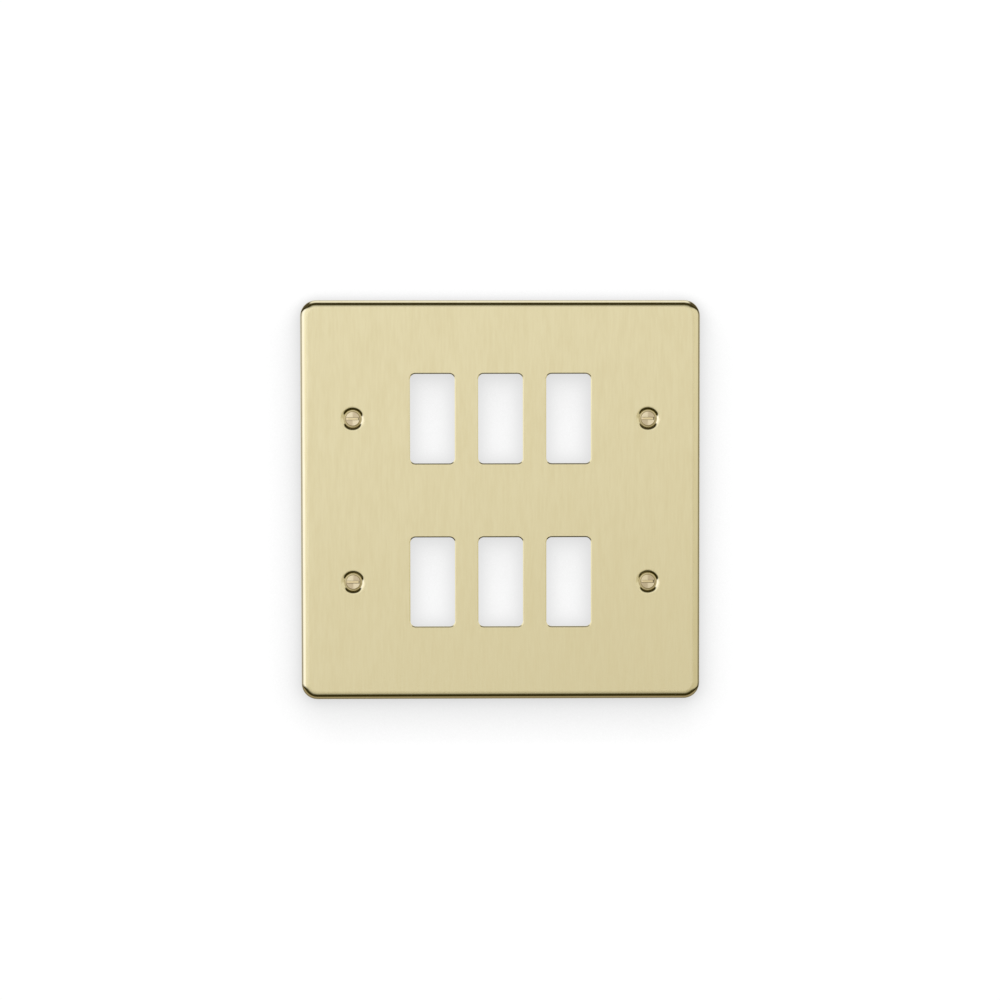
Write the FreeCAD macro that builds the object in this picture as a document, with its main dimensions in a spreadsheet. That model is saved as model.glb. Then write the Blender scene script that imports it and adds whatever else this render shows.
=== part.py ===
import FreeCAD, Part
import math
import os

import Sketcher

# Six-gang grid switch plate: a square sheet-metal pressing with a rolled edge, two rows of
# three module openings, and a dimpled fixing hole at each end of a row, with a slotted
# raised countersunk screw in it.
# Frame: millimetres, +Z up, the face looks along -Y, and the origin lies in the wall plane
# (the back of the plate's rim) at the centre of the plate.

# Driving dimensions: alias, value, meaning
SIZES = [
    ("row_count", 2, "rows of module openings, with a fixing screw at each end"),
    ("column_count", 3, "module openings in a row"),
    ("row_pitch", 60.0, "from the middle of one row to the next"),
    ("module_pitch", 25.0, "from one module opening to the next in a row"),
    ("fixing_pitch", 108.4, "between the two fixing screws of a row"),
    ("row_margin", 43.5, "from the middle of an outer row to the plate's top or bottom"),
    ("side_margin", 19.3, "from a fixing screw to the side of the plate"),
    ("plate_depth", 5.0, "from the wall to the face"),
    ("sheet_gauge", 1.0, "thickness of the pressed sheet"),
    ("corner_radius", 5.9, "outside radius of the plate's four corners"),
    ("edge_bend", 2.2, "inside bend radius of the rolled edge"),
    ("opening_width", 16.4, "width of a module opening"),
    ("opening_height", 32.8, "height of a module opening"),
    ("opening_radius", 2.0, "corner radius of a module opening"),
    ("edge_roll_width", 0.4, "how far from an opening the punch draws the face down"),
    ("edge_roll_depth", 0.19, "how deep the punch draws the face down at an opening"),
    ("countersink_angle", 100.0, "included angle of the dimples and of the screw heads"),
    ("dimple_bend", 1.2, "bend radius round the mouth of a dimple"),
    ("rim_depth", 0.8, "how far the rim of a seated screw head lies behind the face"),
    ("seat_clearance", 0.02, "gap along the axis between a screw head and its dimple"),
    ("hole_clearance", 0.6, "play between a screw and the hole in its dimple"),
    ("screw_diameter", 3.5, "outside diameter of the screw's thread"),
    ("screw_length", 25.0, "from the head's rim to the tip"),
    ("neck_diameter", 3.1, "plain neck between the screw's head and its thread"),
    ("neck_length", 1.2, "from the head's cone to the start of the thread"),
    ("tip_chamfer", 0.5, "lead-in chamfer at the screw's tip"),
    ("head_diameter", 6.4, "rim of the screw head"),
    ("head_land", 0.1, "height of the straight rim round the head"),
    ("head_rise", 0.15, "height of the bevel above the rim"),
    ("head_bevel", 0.78, "width of the bevel round the flat top of the head"),
    ("slot_width", 1.0, "width of the driver slot"),
    ("slot_depth", 0.75, "depth of the driver slot below the flat top"),
    ("slot_margin", 0.1, "flat left between an end of the slot and the bevel"),
]

# Expressions that several features share
PLATE_WIDTH = "(Sizes.fixing_pitch + 2 * Sizes.side_margin)"
PLATE_HEIGHT = "(Sizes.row_pitch * (Sizes.row_count - 1) + 2 * Sizes.row_margin)"
LOWEST_ROW = "-Sizes.row_pitch * (Sizes.row_count - 1) / 2"
LEFT_COLUMN = "-Sizes.module_pitch * (Sizes.column_count - 1) / 2"
LEFT_SCREW = "-Sizes.fixing_pitch / 2"
FACE_Y = "-Sizes.plate_depth"
HALF_ANGLE = "Sizes.countersink_angle / 2"
HEAD_RADIUS = "Sizes.head_diameter / 2"
SHANK_RADIUS = "Sizes.screw_diameter / 2"
RIM_Y = f"({FACE_Y} + Sizes.rim_depth - Sizes.seat_clearance)"
HEAD_TOP_Y = f"({RIM_Y} - Sizes.head_land - Sizes.head_rise)"
SCREWS_PER_ROW = 2

ORIGIN = (-1, 1)
X_AXIS_LINE = -1
Y_AXIS_LINE = -2
TOLERANCE = 1e-6


def make_sheet(doc):
    """The spreadsheet that holds the driving dimensions."""
    sheet = doc.addObject("Spreadsheet::Sheet", "Sizes")
    for row, (alias, value, meaning) in enumerate(SIZES, start=1):
        sheet.set(f"A{row}", alias)
        sheet.set(f"B{row}", str(value))
        sheet.setAlias(f"B{row}", alias)
        sheet.set(f"C{row}", meaning)
    doc.recompute()
    return sheet


def new_sketch(body, name, role, offset=None):
    """A sketch on one of the body's origin planes, with its origin moved by expressions."""
    sketch = body.newObject("Sketcher::SketchObject", name)
    plane = next(f for f in body.Origin.OriginFeatures if f.Role == role)
    sketch.AttachmentSupport = (plane, [""])
    sketch.MapMode = "FlatFace"
    for axis, expression in (offset or {}).items():
        sketch.setExpression(f"AttachmentOffset.Base.{axis}", expression)
    return sketch


def dimension(sketch, kind, first, second, expression):
    """A distance along X or Y from one sketch point to another, driven by an expression."""
    length = float(sketch.evalExpression(expression))
    index = sketch.addConstraint(Sketcher.Constraint(kind, *first, *second, length))
    sketch.setExpression(f"Constraints[{index}]", expression)


def place_point(sketch, point, along_x, along_y):
    """Fixes a sketch point at two expressions, measured from the sketch's origin."""
    axes = (("DistanceX", along_x, Y_AXIS_LINE), ("DistanceY", along_y, X_AXIS_LINE))
    for kind, expression, zero_line in axes:
        value = float(sketch.evalExpression(expression))
        if abs(value) < TOLERANCE:
            sketch.addConstraint(Sketcher.Constraint("PointOnObject", *point, zero_line))
        elif value > 0:
            dimension(sketch, kind, ORIGIN, point, expression)
        else:
            dimension(sketch, kind, point, ORIGIN, f"-({expression})")


def draw_polygon(sketch, corners):
    """A closed outline of straight lines through corners given as pairs of expressions."""
    ends = []
    for corner in corners:
        x, y = (float(sketch.evalExpression(expression)) for expression in corner)
        ends.append(FreeCAD.Vector(x, y, 0))
    following_ends = ends[1:] + ends[:1]
    lines = [
        sketch.addGeometry(Part.LineSegment(start, end))
        for start, end in zip(ends, following_ends)
    ]
    for line, following in zip(lines, lines[1:] + lines[:1]):
        sketch.addConstraint(Sketcher.Constraint("Coincident", line, 2, following, 1))
    for line, corner in zip(lines, corners):
        place_point(sketch, (line, 1), *corner)


def draw_rounded_rectangle(sketch, width, height, radius):
    """A rectangle with equal round corners, centred on the sketch's origin."""
    r = float(sketch.evalExpression(radius))
    out_x = float(sketch.evalExpression(width)) / 2
    out_y = float(sketch.evalExpression(height)) / 2
    in_x = out_x - r
    in_y = out_y - r
    side_ends = [
        ((-in_x, -out_y), (in_x, -out_y)),
        ((out_x, -in_y), (out_x, in_y)),
        ((in_x, out_y), (-in_x, out_y)),
        ((-out_x, in_y), (-out_x, -in_y)),
    ]
    sides = []
    for start, end in side_ends:
        line = Part.LineSegment(FreeCAD.Vector(*start, 0), FreeCAD.Vector(*end, 0))
        sides.append(sketch.addGeometry(line))
    corners = []
    centres = [(in_x, -in_y), (in_x, in_y), (-in_x, in_y), (-in_x, -in_y)]
    for quarter, centre in enumerate(centres):
        circle = Part.Circle(FreeCAD.Vector(*centre, 0), FreeCAD.Vector(0, 0, 1), r)
        turn = math.pi / 2
        arc = Part.ArcOfCircle(circle, (quarter - 1) * turn, quarter * turn)
        corners.append(sketch.addGeometry(arc))
    for side, corner, following in zip(sides, corners, sides[1:] + sides[:1]):
        sketch.addConstraint(Sketcher.Constraint("Tangent", side, 2, corner, 1))
        sketch.addConstraint(Sketcher.Constraint("Tangent", corner, 2, following, 1))
    for side, direction in zip(sides, ("Horizontal", "Vertical") * 2):
        sketch.addConstraint(Sketcher.Constraint(direction, side))
    for corner in corners[1:]:
        sketch.addConstraint(Sketcher.Constraint("Equal", corners[0], corner))
    index = sketch.addConstraint(Sketcher.Constraint("Radius", corners[0], r))
    sketch.setExpression(f"Constraints[{index}]", radius)
    bottom, right, top, left = [(side, 1) for side in sides]
    dimension(sketch, "DistanceY", bottom, ORIGIN, f"{height} / 2")
    dimension(sketch, "DistanceY", ORIGIN, top, f"{height} / 2")
    dimension(sketch, "DistanceX", ORIGIN, right, f"{width} / 2")
    dimension(sketch, "DistanceX", left, ORIGIN, f"{width} / 2")


def add_feature(body, kind, name, expressions=None, **settings):
    """A feature at the end of the body, with its sizes bound to the sheet."""
    feature = body.newObject(f"PartDesign::{kind}", name)
    for key, value in settings.items():
        setattr(feature, key, value)
    for key, expression in (expressions or {}).items():
        feature.setExpression(key, expression)
    body.Tip = feature
    body.Document.recompute()
    return feature


def add_turning(body, kind, name, section):
    """A Revolution or Groove of a section about its sketch's upright axis."""
    return add_feature(
        body, kind, name, Profile=section, ReferenceAxis=(section, ["V_Axis"])
    )


def add_grid(body, name, originals, columns, column_pitch):
    """Repeats features in columns along +X and in the plate's rows along +Z."""
    axes = {f.Role: f for f in body.Origin.OriginFeatures}
    sizes = {
        "Occurrences": columns,
        "Length": f"{column_pitch} * ({columns} - 1)",
        "Occurrences2": "Sizes.row_count",
        "Length2": "Sizes.row_pitch * (Sizes.row_count - 1)",
    }
    return add_feature(
        body,
        "LinearPattern",
        name,
        sizes,
        Originals=originals,
        Direction=(axes["X_Axis"], [""]),
        Direction2=(axes["Z_Axis"], [""]),
    )


def edges_where(feature, test):
    """Names of the feature's edges that pass a test."""
    return [f"Edge{i}" for i, e in enumerate(feature.Shape.Edges, start=1) if test(e)]


def faces_where(feature, test):
    """Names of the feature's faces that pass a test."""
    return [f"Face{i}" for i, f in enumerate(feature.Shape.Faces, start=1) if test(f)]


def lies_at(shape, y):
    """True if the whole edge or face lies in the plane at that Y."""
    box = shape.BoundBox
    return abs(box.YMin - y) < TOLERANCE and abs(box.YMax - y) < TOLERANCE


def is_full_circle(edge):
    """True for a closed circular edge."""
    return isinstance(edge.Curve, Part.Circle) and len(edge.Vertexes) == 1


def press_tray(body, face_y):
    """The sheet pressed into a shallow tray: rolled edge, round corners, open to the wall."""
    outline = new_sketch(body, "plate_outline", "XZ_Plane")
    draw_rounded_rectangle(outline, PLATE_WIDTH, PLATE_HEIGHT, "Sizes.corner_radius")
    block = add_feature(
        body, "Pad", "plate_block", {"Length": "Sizes.plate_depth"}, Profile=outline
    )
    rolled = add_feature(
        body,
        "Fillet",
        "rolled_edge",
        {"Radius": "Sizes.edge_bend + Sizes.sheet_gauge"},
        Base=(block, edges_where(block, lambda e: lies_at(e, face_y))),
    )
    add_feature(
        body,
        "Thickness",
        "tray",
        {"Value": "Sizes.sheet_gauge"},
        Base=(rolled, faces_where(rolled, lambda f: lies_at(f, 0.0))),
        Reversed=True,
    )


def press_dimples(body, face_y):
    """Countersunk dimples drawn into the sheet, each round a hole with a square-cut edge."""
    lower_left = {"x": LEFT_SCREW, "z": LOWEST_ROW}
    # The front cone: its mouth in the face, and its end at the hole
    mouth_radius = f"({HEAD_RADIUS} + Sizes.rim_depth * tan({HALF_ANGLE}))"
    hole_radius = f"({SHANK_RADIUS} + Sizes.hole_clearance / 2)"
    hole_y = f"({FACE_Y} + ({mouth_radius} - {hole_radius}) / tan({HALF_ANGLE}))"
    # The back cone lies one gauge behind it, square to the sheet
    lip_radius = f"({hole_radius} + Sizes.sheet_gauge * cos({HALF_ANGLE}))"
    lip_y = f"({hole_y} + Sizes.sheet_gauge * sin({HALF_ANGLE}))"
    root_y = f"({FACE_Y} + Sizes.sheet_gauge)"
    root_radius = f"({lip_radius} + ({lip_y} - {root_y}) * tan({HALF_ANGLE}))"
    middle_y = f"({FACE_Y} + Sizes.sheet_gauge / 2)"

    back_section = new_sketch(body, "dimple_back_section", "XY_Plane", lower_left)
    draw_polygon(
        back_section,
        [
            ("0", middle_y),
            (root_radius, middle_y),
            (root_radius, root_y),
            (lip_radius, lip_y),
            ("0", lip_y),
        ],
    )
    back = add_turning(body, "Revolution", "dimple_back", back_section)
    front_section = new_sketch(body, "dimple_front_section", "XY_Plane", lower_left)
    draw_polygon(
        front_section,
        [
            ("0", FACE_Y),
            (mouth_radius, FACE_Y),
            (hole_radius, hole_y),
            (lip_radius, lip_y),
            ("0", lip_y),
        ],
    )
    front = add_turning(body, "Groove", "dimple_front", front_section)
    dimples = add_grid(body, "dimples", [back, front], str(SCREWS_PER_ROW), "Sizes.fixing_pitch")
    add_feature(
        body,
        "Fillet",
        "dimple_mouths",
        {"Radius": "Sizes.dimple_bend"},
        Base=(dimples, edges_where(dimples, lambda e: is_full_circle(e) and lies_at(e, face_y))),
    )


def punch_openings(body, face_y):
    """The module openings, punched through the face, whose edges the punch draws down."""
    outline = new_sketch(body, "opening_outline", "XZ_Plane", {"x": LEFT_COLUMN, "y": LOWEST_ROW})
    draw_rounded_rectangle(
        outline, "Sizes.opening_width", "Sizes.opening_height", "Sizes.opening_radius"
    )
    opening = add_feature(
        body, "Pocket", "opening", Profile=outline, Type="ThroughAll", SideType="Symmetric"
    )
    openings = add_grid(body, "openings", [opening], "Sizes.column_count", "Sizes.module_pitch")
    face = max((f for f in openings.Shape.Faces if lies_at(f, face_y)), key=lambda f: f.Area)
    rims = []
    for wire in face.Wires:
        if not wire.isSame(face.OuterWire):
            rims += [edge for edge in wire.Edges if not is_full_circle(edge)]
    add_feature(
        body,
        "Chamfer",
        "opening_edges",
        {"Size": "Sizes.edge_roll_width", "Size2": "Sizes.edge_roll_depth"},
        ChamferType="Two distances",
        Base=(openings, edges_where(openings, lambda e: any(e.isSame(rim) for rim in rims))),
    )


def make_face_plate(doc, sheet):
    """The pressed plate."""
    body = doc.addObject("PartDesign::Body", "face_plate")
    face_y = -sheet.plate_depth
    press_tray(body, face_y)
    press_dimples(body, face_y)
    punch_openings(body, face_y)
    return body


def make_fixing_screws(doc):
    """The slotted raised countersunk screws, each a solid of its own in its dimple."""
    body = doc.addObject("PartDesign::Body", "fixing_screws")
    body.AllowCompound = True
    flat_radius = f"({HEAD_RADIUS} - Sizes.head_bevel)"
    neck_radius = "Sizes.neck_diameter / 2"
    neck_y = f"({RIM_Y} + ({HEAD_RADIUS} - {neck_radius}) / tan({HALF_ANGLE}))"
    thread_y = f"({neck_y} + Sizes.neck_length)"
    tip_y = f"({RIM_Y} + Sizes.screw_length)"
    section = new_sketch(body, "screw_section", "XY_Plane", {"x": LEFT_SCREW, "z": LOWEST_ROW})
    draw_polygon(
        section,
        [
            ("0", HEAD_TOP_Y),
            (flat_radius, HEAD_TOP_Y),
            (HEAD_RADIUS, f"{RIM_Y} - Sizes.head_land"),
            (HEAD_RADIUS, RIM_Y),
            (neck_radius, neck_y),
            (neck_radius, thread_y),
            (SHANK_RADIUS, f"{thread_y} + {SHANK_RADIUS} - {neck_radius}"),
            (SHANK_RADIUS, f"{tip_y} - Sizes.tip_chamfer"),
            (f"{SHANK_RADIUS} - Sizes.tip_chamfer", tip_y),
            ("0", tip_y),
        ],
    )
    turning = add_turning(body, "Revolution", "screw_turning", section)
    slot_outline = new_sketch(
        body, "slot_outline", "XZ_Plane", {"x": LEFT_SCREW, "y": LOWEST_ROW, "z": f"-{HEAD_TOP_Y}"}
    )
    slot_end = f"({flat_radius} - Sizes.slot_margin)"
    slot_side = "Sizes.slot_width / 2"
    draw_polygon(
        slot_outline,
        [
            (f"-{slot_end}", f"-{slot_side}"),
            (slot_end, f"-{slot_side}"),
            (slot_end, slot_side),
            (f"-{slot_end}", slot_side),
        ],
    )
    slot = add_feature(
        body, "Pocket", "driver_slot", {"Length": "Sizes.slot_depth"}, Profile=slot_outline
    )
    add_grid(body, "screws", [turning, slot], str(SCREWS_PER_ROW), "Sizes.fixing_pitch")
    return body


def check(doc, solids):
    """Stops with a message if a feature failed or a piece isn't the sound solids it should be."""
    for item in doc.Objects:
        if "Invalid" in item.State or "Error" in item.State:
            raise RuntimeError(f"{item.Label} failed: {item.State}")
    for part, count in solids.items():
        shape = part.Shape
        if shape.isNull() or not shape.isValid() or len(shape.Solids) != count:
            raise RuntimeError(f"{part.Label} isn't {count} valid solids")


def main():
    doc = FreeCAD.newDocument("grid_switch_plate")
    sheet = make_sheet(doc)
    plate = make_face_plate(doc, sheet)
    screws = make_fixing_screws(doc)
    doc.recompute()
    solids = {plate: 1, screws: SCREWS_PER_ROW * int(sheet.row_count)}
    check(doc, solids)
    os.makedirs("parts", exist_ok=True)
    for part in solids:
        part.Shape.exportStep(os.path.join("parts", f"{part.Label}.step"))
        size = part.Shape.optimalBoundingBox(True, False)
        lengths = f"{size.XLength:.2f} x {size.YLength:.2f} x {size.ZLength:.2f} mm"
        print(f"{part.Label}: {lengths}, {part.Shape.Volume:.1f} mm3")


main()
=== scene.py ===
import math

import bmesh
import bpy
from mathutils import Matrix, Vector


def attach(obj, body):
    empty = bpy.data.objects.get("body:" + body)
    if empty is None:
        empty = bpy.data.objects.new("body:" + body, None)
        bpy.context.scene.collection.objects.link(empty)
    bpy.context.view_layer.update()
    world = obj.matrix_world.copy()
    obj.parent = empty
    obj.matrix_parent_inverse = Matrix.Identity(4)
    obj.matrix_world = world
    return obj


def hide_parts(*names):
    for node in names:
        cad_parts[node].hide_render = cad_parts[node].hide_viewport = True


# Grid switch plate on a white wall: the pressed brass plate with its brushed face and polished
# edges, and four slotted screws with their threads.

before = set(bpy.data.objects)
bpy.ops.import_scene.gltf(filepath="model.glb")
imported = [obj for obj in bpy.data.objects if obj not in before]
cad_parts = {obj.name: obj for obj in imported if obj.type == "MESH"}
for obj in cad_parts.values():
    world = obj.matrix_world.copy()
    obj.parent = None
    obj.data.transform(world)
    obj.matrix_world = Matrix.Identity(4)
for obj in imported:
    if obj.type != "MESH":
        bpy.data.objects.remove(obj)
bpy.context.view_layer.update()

MM = 0.001


# Node trees


def add_node(tree, kind, *values, output=0, **settings):
    """A node whose inputs are filled in order: sockets are linked, numbers set, None left."""
    node = tree.nodes.new(kind)
    for key, value in settings.items():
        setattr(node, key, value)
    for socket, value in zip(node.inputs, values):
        if isinstance(value, bpy.types.NodeSocket):
            tree.links.new(value, socket)
        elif value is not None:
            socket.default_value = value
    return node.outputs[output]


def calc(tree, operation, *values):
    """A Math node."""
    return add_node(tree, "ShaderNodeMath", *values, operation=operation)


def ramp(tree, value, start, end, low=0.0, high=1.0):
    """Goes smoothly from low to high while the value goes from start to end."""
    return add_node(
        tree, "ShaderNodeMapRange", value, start, end, low, high, interpolation_type="SMOOTHSTEP"
    )


def limit(tree, value, low, high):
    """A number kept between two others."""
    return add_node(tree, "ShaderNodeMapRange", value, low, high, low, high)


def blend(tree, factor, low, high):
    """A number between two others."""
    return add_node(tree, "ShaderNodeMapRange", factor, 0.0, 1.0, low, high)


def blend_colour(tree, factor, first, second):
    """A colour between two others."""
    node = tree.nodes.new("ShaderNodeMix")
    node.data_type = "RGBA"
    for name, value in (("Factor_Float", factor), ("A_Color", first), ("B_Color", second)):
        socket = next(s for s in node.inputs if s.identifier == name)
        if isinstance(value, bpy.types.NodeSocket):
            tree.links.new(value, socket)
        else:
            socket.default_value = value
    return next(s for s in node.outputs if s.identifier == "Result_Color")


def components(tree, vector):
    """The three numbers of a vector."""
    node = tree.nodes.new("ShaderNodeSeparateXYZ")
    tree.links.new(vector, node.inputs[0])
    return node.outputs


def object_place(tree):
    """The place on the object, in its own frame."""
    return add_node(tree, "ShaderNodeTexCoord", output="Object")


def new_tree(owner):
    """The empty node tree of a material or world."""
    owner.use_nodes = True
    owner.node_tree.nodes.clear()
    return owner.node_tree


def add_output(tree, shader, kind="ShaderNodeOutputMaterial"):
    """Makes a shader the surface of its material or world."""
    output = tree.nodes.new(kind)
    tree.links.new(shader, output.inputs["Surface"])


# Brass of the plate

NOISE_DETAIL = 2.0
NOISE_ROUGHNESS = 0.5
BUMP_STRENGTH = 0.15
BUMP_DISTANCE = 0.01 * MM

PLATE_COLOUR = (0.777, 0.694, 0.430, 1.0)
PLATE_SHADE = (0.745, 0.655, 0.390, 1.0)
# Width, length and seed of a streak
FINE_STREAK = (0.7 * MM, 6.5 * MM, 3.0)
BROAD_STREAK = (2.0 * MM, 13.0 * MM, 11.0)
FINE_SHARE = 0.5
BROAD_SHARE = 0.34
GRAIN_SPAN = (0.22, 0.62)
BRUSHED_ROUGHNESS = (0.36, 0.28)
POLISHED_ROUGHNESS = 0.12
BRUSHED_ANISOTROPY = 0.5
# Across the brushing; leaning, so that it lies along no wall's normal
BRUSHED_TANGENT = (1.0, 0.3, 0.05)
BRUSHED_METALLIC = 0.6
# How squarely a surface faces the front or back where it turns brushed, and where it turns dull
BRUSHED_FACING = (0.93, 0.998)
DULL_FACING = (0.985, 0.9995)


def streaks(tree, place, width, length, seed):
    """Noise drawn out along Z, as brushing leaves it."""
    shift = (seed, seed, seed)
    stretched = add_node(
        tree, "ShaderNodeMapping", place, shift, None, (1 / width, 1 / length, 1 / length)
    )
    return add_node(
        tree, "ShaderNodeTexNoise", stretched, None, 1.0, NOISE_DETAIL, NOISE_ROUGHNESS
    )


def brass(tree, colour, roughness, bump_height):
    """A metallic shader with the colour, roughness and bump made for it."""
    shader = tree.nodes.new("ShaderNodeBsdfPrincipled")
    shader.inputs["Metallic"].default_value = 1.0
    tree.links.new(colour, shader.inputs["Base Color"])
    tree.links.new(roughness, shader.inputs["Roughness"])
    bump = tree.nodes.new("ShaderNodeBump")
    bump.inputs["Strength"].default_value = BUMP_STRENGTH
    bump.inputs["Distance"].default_value = BUMP_DISTANCE
    tree.links.new(bump_height, bump.inputs["Height"])
    tree.links.new(bump.outputs[0], shader.inputs["Normal"])
    add_output(tree, shader.outputs[0])
    return shader


def make_plate_brass():
    """Brass brushed upright on its flat face, and polished where it is bent or cut."""
    material = bpy.data.materials.new("brushed_brass")
    tree = new_tree(material)
    place = object_place(tree)
    fine = streaks(tree, place, *FINE_STREAK)
    broad = streaks(tree, place, *BROAD_STREAK)
    grain = calc(
        tree,
        "ADD",
        calc(tree, "MULTIPLY", fine, FINE_SHARE),
        calc(tree, "MULTIPLY", broad, BROAD_SHARE),
    )
    normal = add_node(tree, "ShaderNodeNewGeometry", output="Normal")
    facing = calc(tree, "ABSOLUTE", components(tree, normal)[1])
    flat = ramp(tree, facing, *BRUSHED_FACING)
    colour = blend_colour(tree, ramp(tree, grain, *GRAIN_SPAN), PLATE_SHADE, PLATE_COLOUR)
    brushed = ramp(tree, grain, *GRAIN_SPAN, *BRUSHED_ROUGHNESS)
    roughness = blend(tree, flat, POLISHED_ROUGHNESS, brushed)
    shader = brass(tree, colour, roughness, calc(tree, "MULTIPLY", fine, flat))
    shader.inputs["Anisotropic"].default_value = BRUSHED_ANISOTROPY
    tangent = add_node(tree, "ShaderNodeCombineXYZ", *BRUSHED_TANGENT)
    tree.links.new(tangent, shader.inputs["Tangent"])
    # Fine scratches in all directions give the brushed face a dull share
    dull = ramp(tree, facing, *DULL_FACING, 1.0, BRUSHED_METALLIC)
    tree.links.new(dull, shader.inputs["Metallic"])
    return material


# Shape of the screws, in millimetres, measured along Y from the wall

FIXING_PITCH = 108.4
ROW_PITCH = 60.0
HEAD_RIM_Y = -4.22
HEAD_RADIUS = 3.2
HEAD_LAND = 0.1
HEAD_RISE = 0.15
HEAD_TOP_Y = HEAD_RIM_Y - HEAD_LAND - HEAD_RISE
FLAT_RADIUS = 2.42
SLOT_HALF_WIDTH = 0.5
SLOT_HALF_LENGTH = 2.32
SLOT_DEPTH = 0.75
CONE_HALF_ANGLE = math.radians(50)
NECK_RADIUS = 1.55
NECK_LENGTH = 1.2
NECK_Y = HEAD_RIM_Y + (HEAD_RADIUS - NECK_RADIUS) / math.tan(CONE_HALF_ANGLE)
THREAD_START_Y = NECK_Y + NECK_LENGTH
THREAD_RADIUS = 1.75
THREAD_ROOT_RADIUS = 1.38
THREAD_PITCH = 0.6
# Where the crest and the root of the thread begin and end, as shares of the pitch
THREAD_STEPS = (0.0, 0.125, 0.4375, 0.6875)
SCREW_LENGTH = 25.0
TIP_Y = HEAD_RIM_Y + SCREW_LENGTH
TIP_CHAMFER = 0.5
HEAD_EDGE = 0.03
SLOT_EDGE = 0.04
SEGMENTS = 64
SHARP_ANGLE = math.radians(15)
SMOOTH_ANGLE = math.radians(8)
MERGE_DISTANCE = 1e-4


def ring_of(bm, radius, y):
    """A ring of vertices round the screw's axis."""
    turn = 2 * math.pi / SEGMENTS
    return [
        bm.verts.new((radius * math.cos(i * turn), y, radius * math.sin(i * turn)))
        for i in range(SEGMENTS)
    ]


def bridge(bm, first, second):
    """Faces between two rings of as many vertices."""
    for i in range(len(first)):
        j = (i + 1) % len(first)
        bm.faces.new((first[i], first[j], second[j], second[i]))


def round_edges(bm, width, chosen):
    """Breaks the sharp edges in front of the rim, at radii that are chosen."""
    edges = [
        edge
        for edge in bm.edges
        if edge.is_manifold
        and edge.calc_face_angle() > SHARP_ANGLE
        and all(v.co.y < HEAD_RIM_Y + HEAD_EDGE for v in edge.verts)
        and all(chosen(math.hypot(v.co.x, v.co.z)) for v in edge.verts)
    ]
    bmesh.ops.bevel(
        bm, geom=edges, offset=width, segments=2, profile=0.5, affect="EDGES", clamp_overlap=True
    )


def make_head(bm):
    """The head down to the end of the neck, with a driver slot cut in its flat top."""
    profile = [
        (FLAT_RADIUS, HEAD_TOP_Y),
        (HEAD_RADIUS, HEAD_RIM_Y - HEAD_LAND),
        (HEAD_RADIUS, HEAD_RIM_Y),
        (NECK_RADIUS, NECK_Y),
        (NECK_RADIUS, THREAD_START_Y),
    ]
    rings = [ring_of(bm, radius, y) for radius, y in profile]
    for first, second in zip(rings, rings[1:]):
        bridge(bm, first, second)
    length, width = SLOT_HALF_LENGTH, SLOT_HALF_WIDTH
    slot_outline = [
        (length, 0.0), (length, width), (-length, width),
        (-length, 0.0), (-length, -width), (length, -width),
    ]
    mouth = [bm.verts.new((x, HEAD_TOP_Y, z)) for x, z in slot_outline]
    floor = [bm.verts.new((x, HEAD_TOP_Y + SLOT_DEPTH, z)) for x, z in slot_outline]
    bridge(bm, mouth, floor)
    bm.faces.new(floor)
    # The flat top, as one face above the slot and one below it
    half = SEGMENTS // 2
    upper_arc = rings[0][: half + 1]
    lower_arc = rings[0][half:] + rings[0][:1]
    bm.faces.new(upper_arc + [mouth[3], mouth[2], mouth[1], mouth[0]])
    bm.faces.new(lower_arc + [mouth[0], mouth[5], mouth[4], mouth[3]])
    bmesh.ops.recalc_face_normals(bm, faces=bm.faces)
    round_edges(bm, HEAD_EDGE, lambda r: r > FLAT_RADIUS)
    round_edges(bm, SLOT_EDGE, lambda r: r < FLAT_RADIUS)


def thread_radius(phase, y):
    """Radius of the thread's surface: a ridge that runs out at the neck and the tip."""
    ridge = (THREAD_RADIUS, THREAD_RADIUS, THREAD_ROOT_RADIUS, THREAD_ROOT_RADIUS)[phase]
    begun = min(1.0, (y - THREAD_START_Y) / THREAD_PITCH)
    radius = NECK_RADIUS + (ridge - NECK_RADIUS) * begun
    return min(radius, THREAD_RADIUS - TIP_CHAMFER + (TIP_Y - y))


def make_thread(bm):
    """The right-hand thread from the neck to the tip, wound as one strip with flat crests."""
    turns = math.ceil((TIP_Y - THREAD_START_Y) / THREAD_PITCH) + 1
    columns = []
    for i in range(SEGMENTS):
        turn = i / SEGMENTS
        angle = 2 * math.pi * turn
        column = []
        for k in range(-1, turns):
            for phase, step in enumerate(THREAD_STEPS):
                y = THREAD_START_Y + THREAD_PITCH * (k + step + turn)
                y = min(max(y, THREAD_START_Y), TIP_Y)
                radius = thread_radius(phase, y)
                column.append(
                    bm.verts.new((radius * math.cos(angle), y, radius * math.sin(angle)))
                )
        columns.append(column)
    # One turn on, the strip meets itself a pitch further along
    columns.append(columns[0][len(THREAD_STEPS):])
    for first, second in zip(columns, columns[1:]):
        rows = min(len(first), len(second))
        for j in range(rows - 1):
            bm.faces.new((first[j], first[j + 1], second[j + 1], second[j]))
    bm.faces.new([column[-1] for column in columns[:-1]])


def make_screw_mesh():
    """One screw, centred on its axis."""
    bm = bmesh.new()
    make_head(bm)
    make_thread(bm)
    bmesh.ops.remove_doubles(bm, verts=bm.verts, dist=MERGE_DISTANCE)
    bmesh.ops.dissolve_degenerate(bm, edges=bm.edges, dist=MERGE_DISTANCE)
    bmesh.ops.recalc_face_normals(bm, faces=bm.faces)
    bmesh.ops.scale(bm, vec=(MM, MM, MM), verts=bm.verts)
    mesh = bpy.data.meshes.new("fixing_screw")
    bm.to_mesh(mesh)
    bm.free()
    mesh.shade_smooth()
    mesh.set_sharp_from_angle(angle=SMOOTH_ANGLE)
    return mesh


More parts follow.
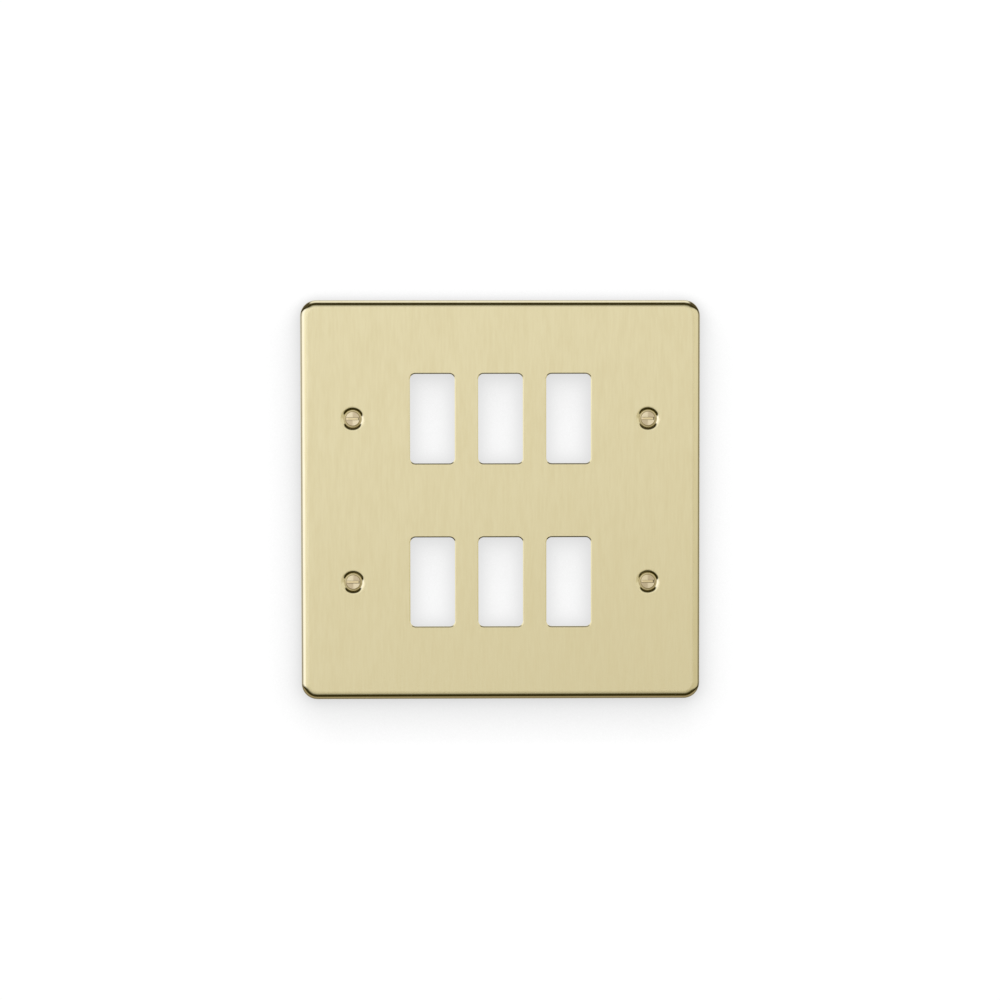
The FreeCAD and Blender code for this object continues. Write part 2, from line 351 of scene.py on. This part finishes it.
def place_screws(material):
    """A screw in each dimple, in place of the plain ones."""
    mesh = make_screw_mesh()
    mesh.materials.append(material)
    for row, z in (("upper", ROW_PITCH / 2), ("lower", -ROW_PITCH / 2)):
        for side, x in (("left", -FIXING_PITCH / 2), ("right", FIXING_PITCH / 2)):
            screw = bpy.data.objects.new(f"fixing_screw_{row}_{side}", mesh)
            bpy.context.scene.collection.objects.link(screw)
            screw.location = Vector((x, 0.0, z)) * MM
            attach(screw, "root")
            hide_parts("fixing_screws")


# Brass of the screws

# Brass of the screw, and a darker copy of it painted as shade on two quarters of the flat
SCREW_COLOUR = (0.86, 0.745, 0.515, 1.0)
SCREW_PAINTED_SHADE = (0.64, 0.53, 0.35, 1.0)
QUARTER_EDGE = 0.25
# The slot's floor, a painted highlight at its left end, painted shade at its right end, and a
# painted shadow line along its sides
SLOT_COLOUR = (0.84, 0.70, 0.42, 1.0)
SLOT_PAINTED_HIGHLIGHT = (0.95, 0.80, 0.52, 1.0)
SLOT_HIGHLIGHT_X = (-1.5 * MM, -1.9 * MM)
SLOT_PAINTED_SHADE = (0.20, 0.16, 0.07, 1.0)
SLOT_SHADE_X = (1.85 * MM, 2.1 * MM)
SLOT_SHADOW_LINE = (0.26, 0.20, 0.10, 1.0)
SLOT_SHADOW_LINE_WIDTH = 0.2 * MM
SLOT_LIP = 0.1 * MM
# The bevel painted darker as shade, and a painted shadow line where it meets the flat
RING_SHADED_COLOUR = (0.58, 0.49, 0.27, 1.0)
RING_SHADOW_LINE = (0.25, 0.18, 0.07, 1.0)
RING_START = ((FLAT_RADIUS + 0.05) * MM, (FLAT_RADIUS + 0.12) * MM)
RING_SHADOW_SPAN = ((FLAT_RADIUS + 0.1) * MM, (FLAT_RADIUS + 0.5) * MM)
SHANK_START = ((SLOT_DEPTH + 0.05) * MM, (SLOT_DEPTH + 0.1) * MM)
TURNING_SCALE = 6.0 / MM
TURNING_SPAN = (0.3, 0.7)
TURNED_ROUGHNESS = (0.28, 0.36)


def make_screw_brass():
    """Turned brass with painted light and shade: light and dark quarters painted on the flat as
    its reflection, and a bevel painted darker as shade.
    """
    material = bpy.data.materials.new("turned_brass")
    tree = new_tree(material)
    x, y, z = components(tree, object_place(tree))
    radius_squared = calc(tree, "ADD", calc(tree, "MULTIPLY", x, x), calc(tree, "MULTIPLY", z, z))
    radius = calc(tree, "SQRT", radius_squared)
    depth = calc(tree, "SUBTRACT", y, HEAD_TOP_Y * MM)
    # Painted reflection: the turning marks would mirror the studio as a bow-tie, so two opposite
    # quarters are painted lighter and the other two darker as painted shade
    quarter = calc(tree, "DIVIDE", calc(tree, "MULTIPLY", x, z), radius_squared)
    lit = ramp(tree, quarter, -QUARTER_EDGE, QUARTER_EDGE, 1.0, 0.0)
    painted_quarters = blend_colour(tree, lit, SCREW_PAINTED_SHADE, SCREW_COLOUR)
    # The slot: a painted highlight at its left end, painted shade at its right end and a painted
    # shadow line along its sides
    slot_highlit = blend_colour(tree, ramp(tree, x, *SLOT_HIGHLIGHT_X), SLOT_COLOUR, SLOT_PAINTED_HIGHLIGHT)
    slot = blend_colour(tree, ramp(tree, x, *SLOT_SHADE_X), slot_highlit, SLOT_PAINTED_SHADE)
    inside = calc(tree, "SUBTRACT", SLOT_HALF_WIDTH * MM, calc(tree, "ABSOLUTE", z))
    slot = blend_colour(tree, ramp(tree, inside, 0.0, SLOT_SHADOW_LINE_WIDTH), SLOT_SHADOW_LINE, slot)
    flat = blend_colour(tree, ramp(tree, depth, 0.0, SLOT_LIP), painted_quarters, slot)
    # The bevel round the flat, painted darker as shade, with a painted shadow line where they
    # meet
    bevel = blend_colour(tree, ramp(tree, radius, *RING_SHADOW_SPAN), RING_SHADOW_LINE, RING_SHADED_COLOUR)
    head = blend_colour(tree, ramp(tree, radius, *RING_START), flat, bevel)
    # Behind the slot the screw is bright all over
    colour = blend_colour(tree, ramp(tree, depth, *SHANK_START), head, SCREW_COLOUR)
    # Marks left by turning, in rings round the axis
    rings = add_node(tree, "ShaderNodeCombineXYZ", radius, 0.0, y)
    marks = add_node(
        tree, "ShaderNodeTexNoise", rings, None, TURNING_SCALE, NOISE_DETAIL, NOISE_ROUGHNESS
    )
    roughness = ramp(tree, marks, *TURNING_SPAN, *TURNED_ROUGHNESS)
    brass(tree, colour, roughness, marks)
    return material


# Wall

WHITE = (1.0, 1.0, 1.0, 1.0)
WALL_Y = 0.2 * MM
WALL_HALF_SIZE = 3.0
WALL_GLOW = 1.03
SHADOW_STRENGTH = 0.44
SHADOW_STRENGTH_INSIDE = 0.39
SHADOW_FALLOFF = 0.55
SHADOW_REACH = 19 * MM
SHADOW_SAMPLES = 8
SHADOW_LIGHT = (0.0, -0.9, 0.36)
INSIDE_HALF_SIZE = 65 * MM


def make_wall():
    """The white wall behind the plate, seen from the front only, with the plate's soft shadow."""
    size = WALL_HALF_SIZE
    outline = ((-size, -size), (size, -size), (size, size), (-size, size))
    corners = [(x, WALL_Y, z) for x, z in outline]
    mesh = bpy.data.meshes.new("wall")
    mesh.from_pydata(corners, [], [(0, 1, 2, 3)])
    material = bpy.data.materials.new("white_wall")
    tree = new_tree(material)
    light = add_node(tree, "ShaderNodeCombineXYZ", *SHADOW_LIGHT)
    open_share = add_node(
        tree,
        "ShaderNodeAmbientOcclusion",
        None,
        SHADOW_REACH,
        light,
        output="AO",
        samples=SHADOW_SAMPLES,
    )
    hidden = calc(tree, "POWER", calc(tree, "SUBTRACT", 1.0, open_share), SHADOW_FALLOFF)
    # Light thrown to and fro between plate and wall softens the shadow behind the openings
    x, _, z = components(tree, object_place(tree))
    reach = calc(tree, "MAXIMUM", calc(tree, "ABSOLUTE", x), calc(tree, "ABSOLUTE", z))
    outside = calc(tree, "GREATER_THAN", reach, INSIDE_HALF_SIZE)
    strength = blend(tree, outside, SHADOW_STRENGTH_INSIDE, SHADOW_STRENGTH)
    glow = calc(tree, "SUBTRACT", WALL_GLOW, calc(tree, "MULTIPLY", hidden, strength))
    front = add_node(tree, "ShaderNodeEmission", WHITE, glow)
    clear = add_node(tree, "ShaderNodeBsdfTransparent")
    behind = add_node(tree, "ShaderNodeNewGeometry", output="Backfacing")
    add_output(tree, add_node(tree, "ShaderNodeMixShader", behind, front, clear))
    mesh.materials.append(material)
    wall = bpy.data.objects.new("wall", mesh)
    bpy.context.scene.collection.objects.link(wall)
    wall.visible_diffuse = False
    wall.visible_glossy = False
    wall.visible_transmission = False
    wall.visible_shadow = False


# Studio that the metal mirrors. Front is 1 towards the camera and -1 behind the plate, lift is 1
# straight up and -1 straight down, and reach is how far a direction is in front of the light's
# edge.

LIGHT_UPPER_LEFT = (1.20, 1.225, 1.30, 1.0)
LIGHT_LOWER_RIGHT = (0.73, 0.71, 0.61, 1.0)
SLOPE_UP = (-0.13, 0.03)
SLOPE_ACROSS = (-0.08, 0.11)
SLOPE_SPAN = (-0.25, 0.14)

CAMERA_STAND = (0.38, 0.34, 0.18, 1.0)
STAND_DIRECTION = (0.08, -0.972, -0.22)
STAND_SPREAD = (0.21, 0.06)

LAMP_LEFT = (1.37, 1.41, 1.70, 1.0)
LAMP_FRONT = (0.70, 0.36)
LAMP_SIDE = (0.0, -0.4)

ROOM_LEFT = (0.50, 0.50, 0.54, 1.0)
ROOM_RIGHT = (0.31, 0.29, 0.23, 1.0)
ROOM_SIDES = (-0.2, 0.2)
ROOM_FRONT = (0.0, -0.40)
ROOM_REAR = (0.95, 0.95, 0.95, 1.0)
REAR_FRONT = (-0.68, -0.97)

# The edge of the light lies far back at the sides, and far forward straight up and down
EDGE_FRONT = (-0.65, 0.62)
EDGE_START_LOWER_LEFT = -0.11
EDGE_START_LOWER_RIGHT = 0.08
EDGE_START_UPPER = 0.15
EDGE_RISE = 0.70
DARK = (0.039, 0.033, 0.006, 1.0)
DARK_REACH = (0.36, -0.07)
DARK_LIFT = (0.05, 0.35)

CEILING = (1.16, 1.19, 1.31, 1.0)
CEILING_FRONT = (-0.5, -0.75)
CEILING_REACH = (-0.50, -0.80)
CEILING_LIFT = (0.85, 0.97)
CORNER_DARK = (0.10, 0.085, 0.055, 1.0)
CORNER_REACH = (-0.25, -0.60)

FLOOR = (0.42, 0.37, 0.28, 1.0)
FLOOR_FAR = (0.13, 0.115, 0.09, 1.0)
FLOOR_FRONT = (-0.3, -0.75)
FLOOR_REACH = (-0.46, -0.68)

SMALLEST_DIVISOR = 0.001


def mirrored_studio(tree):
    """Colour of the studio as the metal mirrors it, by direction."""
    direction = add_node(tree, "ShaderNodeTexCoord", output="Generated")
    x, y, z = components(tree, direction)
    front = calc(tree, "MULTIPLY", y, -1.0)
    across = calc(tree, "SQRT", calc(tree, "SUBTRACT", 1.0, calc(tree, "MULTIPLY", y, y)))
    lift = calc(tree, "DIVIDE", z, calc(tree, "MAXIMUM", across, SMALLEST_DIVISOR))
    # A large soft light round the camera, stronger towards the upper left
    slope = calc(tree, "SUBTRACT", limit(tree, z, *SLOPE_UP), limit(tree, x, *SLOPE_ACROSS))
    strength = add_node(tree, "ShaderNodeMapRange", slope, *SLOPE_SPAN)
    light = blend_colour(tree, strength, LIGHT_LOWER_RIGHT, LIGHT_UPPER_LEFT)
    # The stand of the camera, under it
    off_stand = add_node(
        tree,
        "ShaderNodeVectorMath",
        direction,
        STAND_DIRECTION,
        output="Value",
        operation="DISTANCE",
    )
    light = blend_colour(tree, ramp(tree, off_stand, *STAND_SPREAD), light, CAMERA_STAND)
    # A lamp at the left, and the room on both sides of the object
    lamp = calc(tree, "MULTIPLY", ramp(tree, front, *LAMP_FRONT), ramp(tree, x, *LAMP_SIDE))
    light = blend_colour(tree, lamp, light, LAMP_LEFT)
    room = blend_colour(tree, ramp(tree, x, *ROOM_SIDES), ROOM_LEFT, ROOM_RIGHT)
    light = blend_colour(tree, ramp(tree, front, *ROOM_FRONT), light, room)
    # Darkness past the edge of the light
    steep = calc(tree, "ABSOLUTE", lift)
    above = calc(tree, "GREATER_THAN", z, 0.0)
    on_right = calc(tree, "GREATER_THAN", x, 0.0)
    start = blend(tree, on_right, EDGE_START_LOWER_LEFT, EDGE_START_LOWER_RIGHT)
    start = blend(tree, above, start, EDGE_START_UPPER)
    edge = ramp(tree, steep, start, calc(tree, "ADD", start, EDGE_RISE), *EDGE_FRONT)
    reach = calc(tree, "SUBTRACT", front, edge)
    dark = calc(tree, "MULTIPLY", ramp(tree, reach, *DARK_REACH), ramp(tree, steep, *DARK_LIFT))
    # Beyond it a lit strip of ceiling overhead, and a dim floor below
    ceiling = blend_colour(tree, ramp(tree, front, *CEILING_FRONT), CEILING, ROOM_LEFT)
    strip = calc(
        tree, "MULTIPLY", ramp(tree, reach, *CEILING_REACH), ramp(tree, lift, *CEILING_LIFT)
    )
    unlit = blend_colour(tree, ramp(tree, reach, *CORNER_REACH), DARK, CORNER_DARK)
    upper = blend_colour(tree, strip, unlit, ceiling)
    floor = blend_colour(tree, ramp(tree, front, *FLOOR_FRONT), FLOOR, FLOOR_FAR)
    lower = blend_colour(tree, ramp(tree, reach, *FLOOR_REACH), DARK, floor)
    beyond = blend_colour(tree, above, lower, upper)
    colour = blend_colour(tree, dark, light, beyond)
    return blend_colour(tree, ramp(tree, front, *REAR_FRONT), colour, ROOM_REAR)


def make_world():
    """White behind everything, and the studio in the metal."""
    world = bpy.data.worlds.new("studio")
    bpy.context.scene.world = world
    world.cycles.sampling_method = "NONE"
    tree = new_tree(world)
    paths = tree.nodes.new("ShaderNodeLightPath").outputs
    colour = blend_colour(tree, paths["Is Glossy Ray"], WHITE, mirrored_studio(tree))
    background = add_node(tree, "ShaderNodeBackground", colour, 1.0)
    add_output(tree, background, "ShaderNodeOutputWorld")


# Camera, fitted to the outline, the openings and the screws of the photograph

CAMERA_TARGET = Vector((-0.222, -5.0, 0.125)) * MM
CAMERA_DISTANCE = 867.2 * MM
CAMERA_AZIMUTH = math.radians(-0.929)
CAMERA_ELEVATION = math.radians(2.192)
CAMERA_ROLL = math.radians(-0.076)
CAMERA_LENS = 85.0
CAMERA_CLIP_START = 0.01
SENSOR_WIDTH = 36.0


def make_camera():
    """The camera at the photograph's viewpoint."""
    azimuth, elevation = CAMERA_AZIMUTH, CAMERA_ELEVATION
    back = Vector(
        (
            math.sin(azimuth) * math.cos(elevation),
            -math.cos(azimuth) * math.cos(elevation),
            math.sin(elevation),
        )
    )
    right = (-back).cross(Vector((0.0, 0.0, 1.0))).normalized()
    up = right.cross(-back)
    rolled_right = math.cos(CAMERA_ROLL) * right + math.sin(CAMERA_ROLL) * up
    rolled_up = math.cos(CAMERA_ROLL) * up - math.sin(CAMERA_ROLL) * right
    data = bpy.data.cameras.new("camera")
    data.lens = CAMERA_LENS
    data.sensor_width = SENSOR_WIDTH
    data.clip_start = CAMERA_CLIP_START
    camera = bpy.data.objects.new("camera", data)
    bpy.context.scene.collection.objects.link(camera)
    turn = Matrix((rolled_right, rolled_up, back)).transposed().to_4x4()
    camera.matrix_world = Matrix.Translation(CAMERA_TARGET + back * CAMERA_DISTANCE) @ turn
    bpy.context.scene.camera = camera


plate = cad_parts["face_plate"]
plate.data.materials.clear()
plate.data.materials.append(make_plate_brass())
place_screws(make_screw_brass())
make_wall()
make_world()
make_camera()
bpy.context.scene.view_settings.view_transform = "Standard"
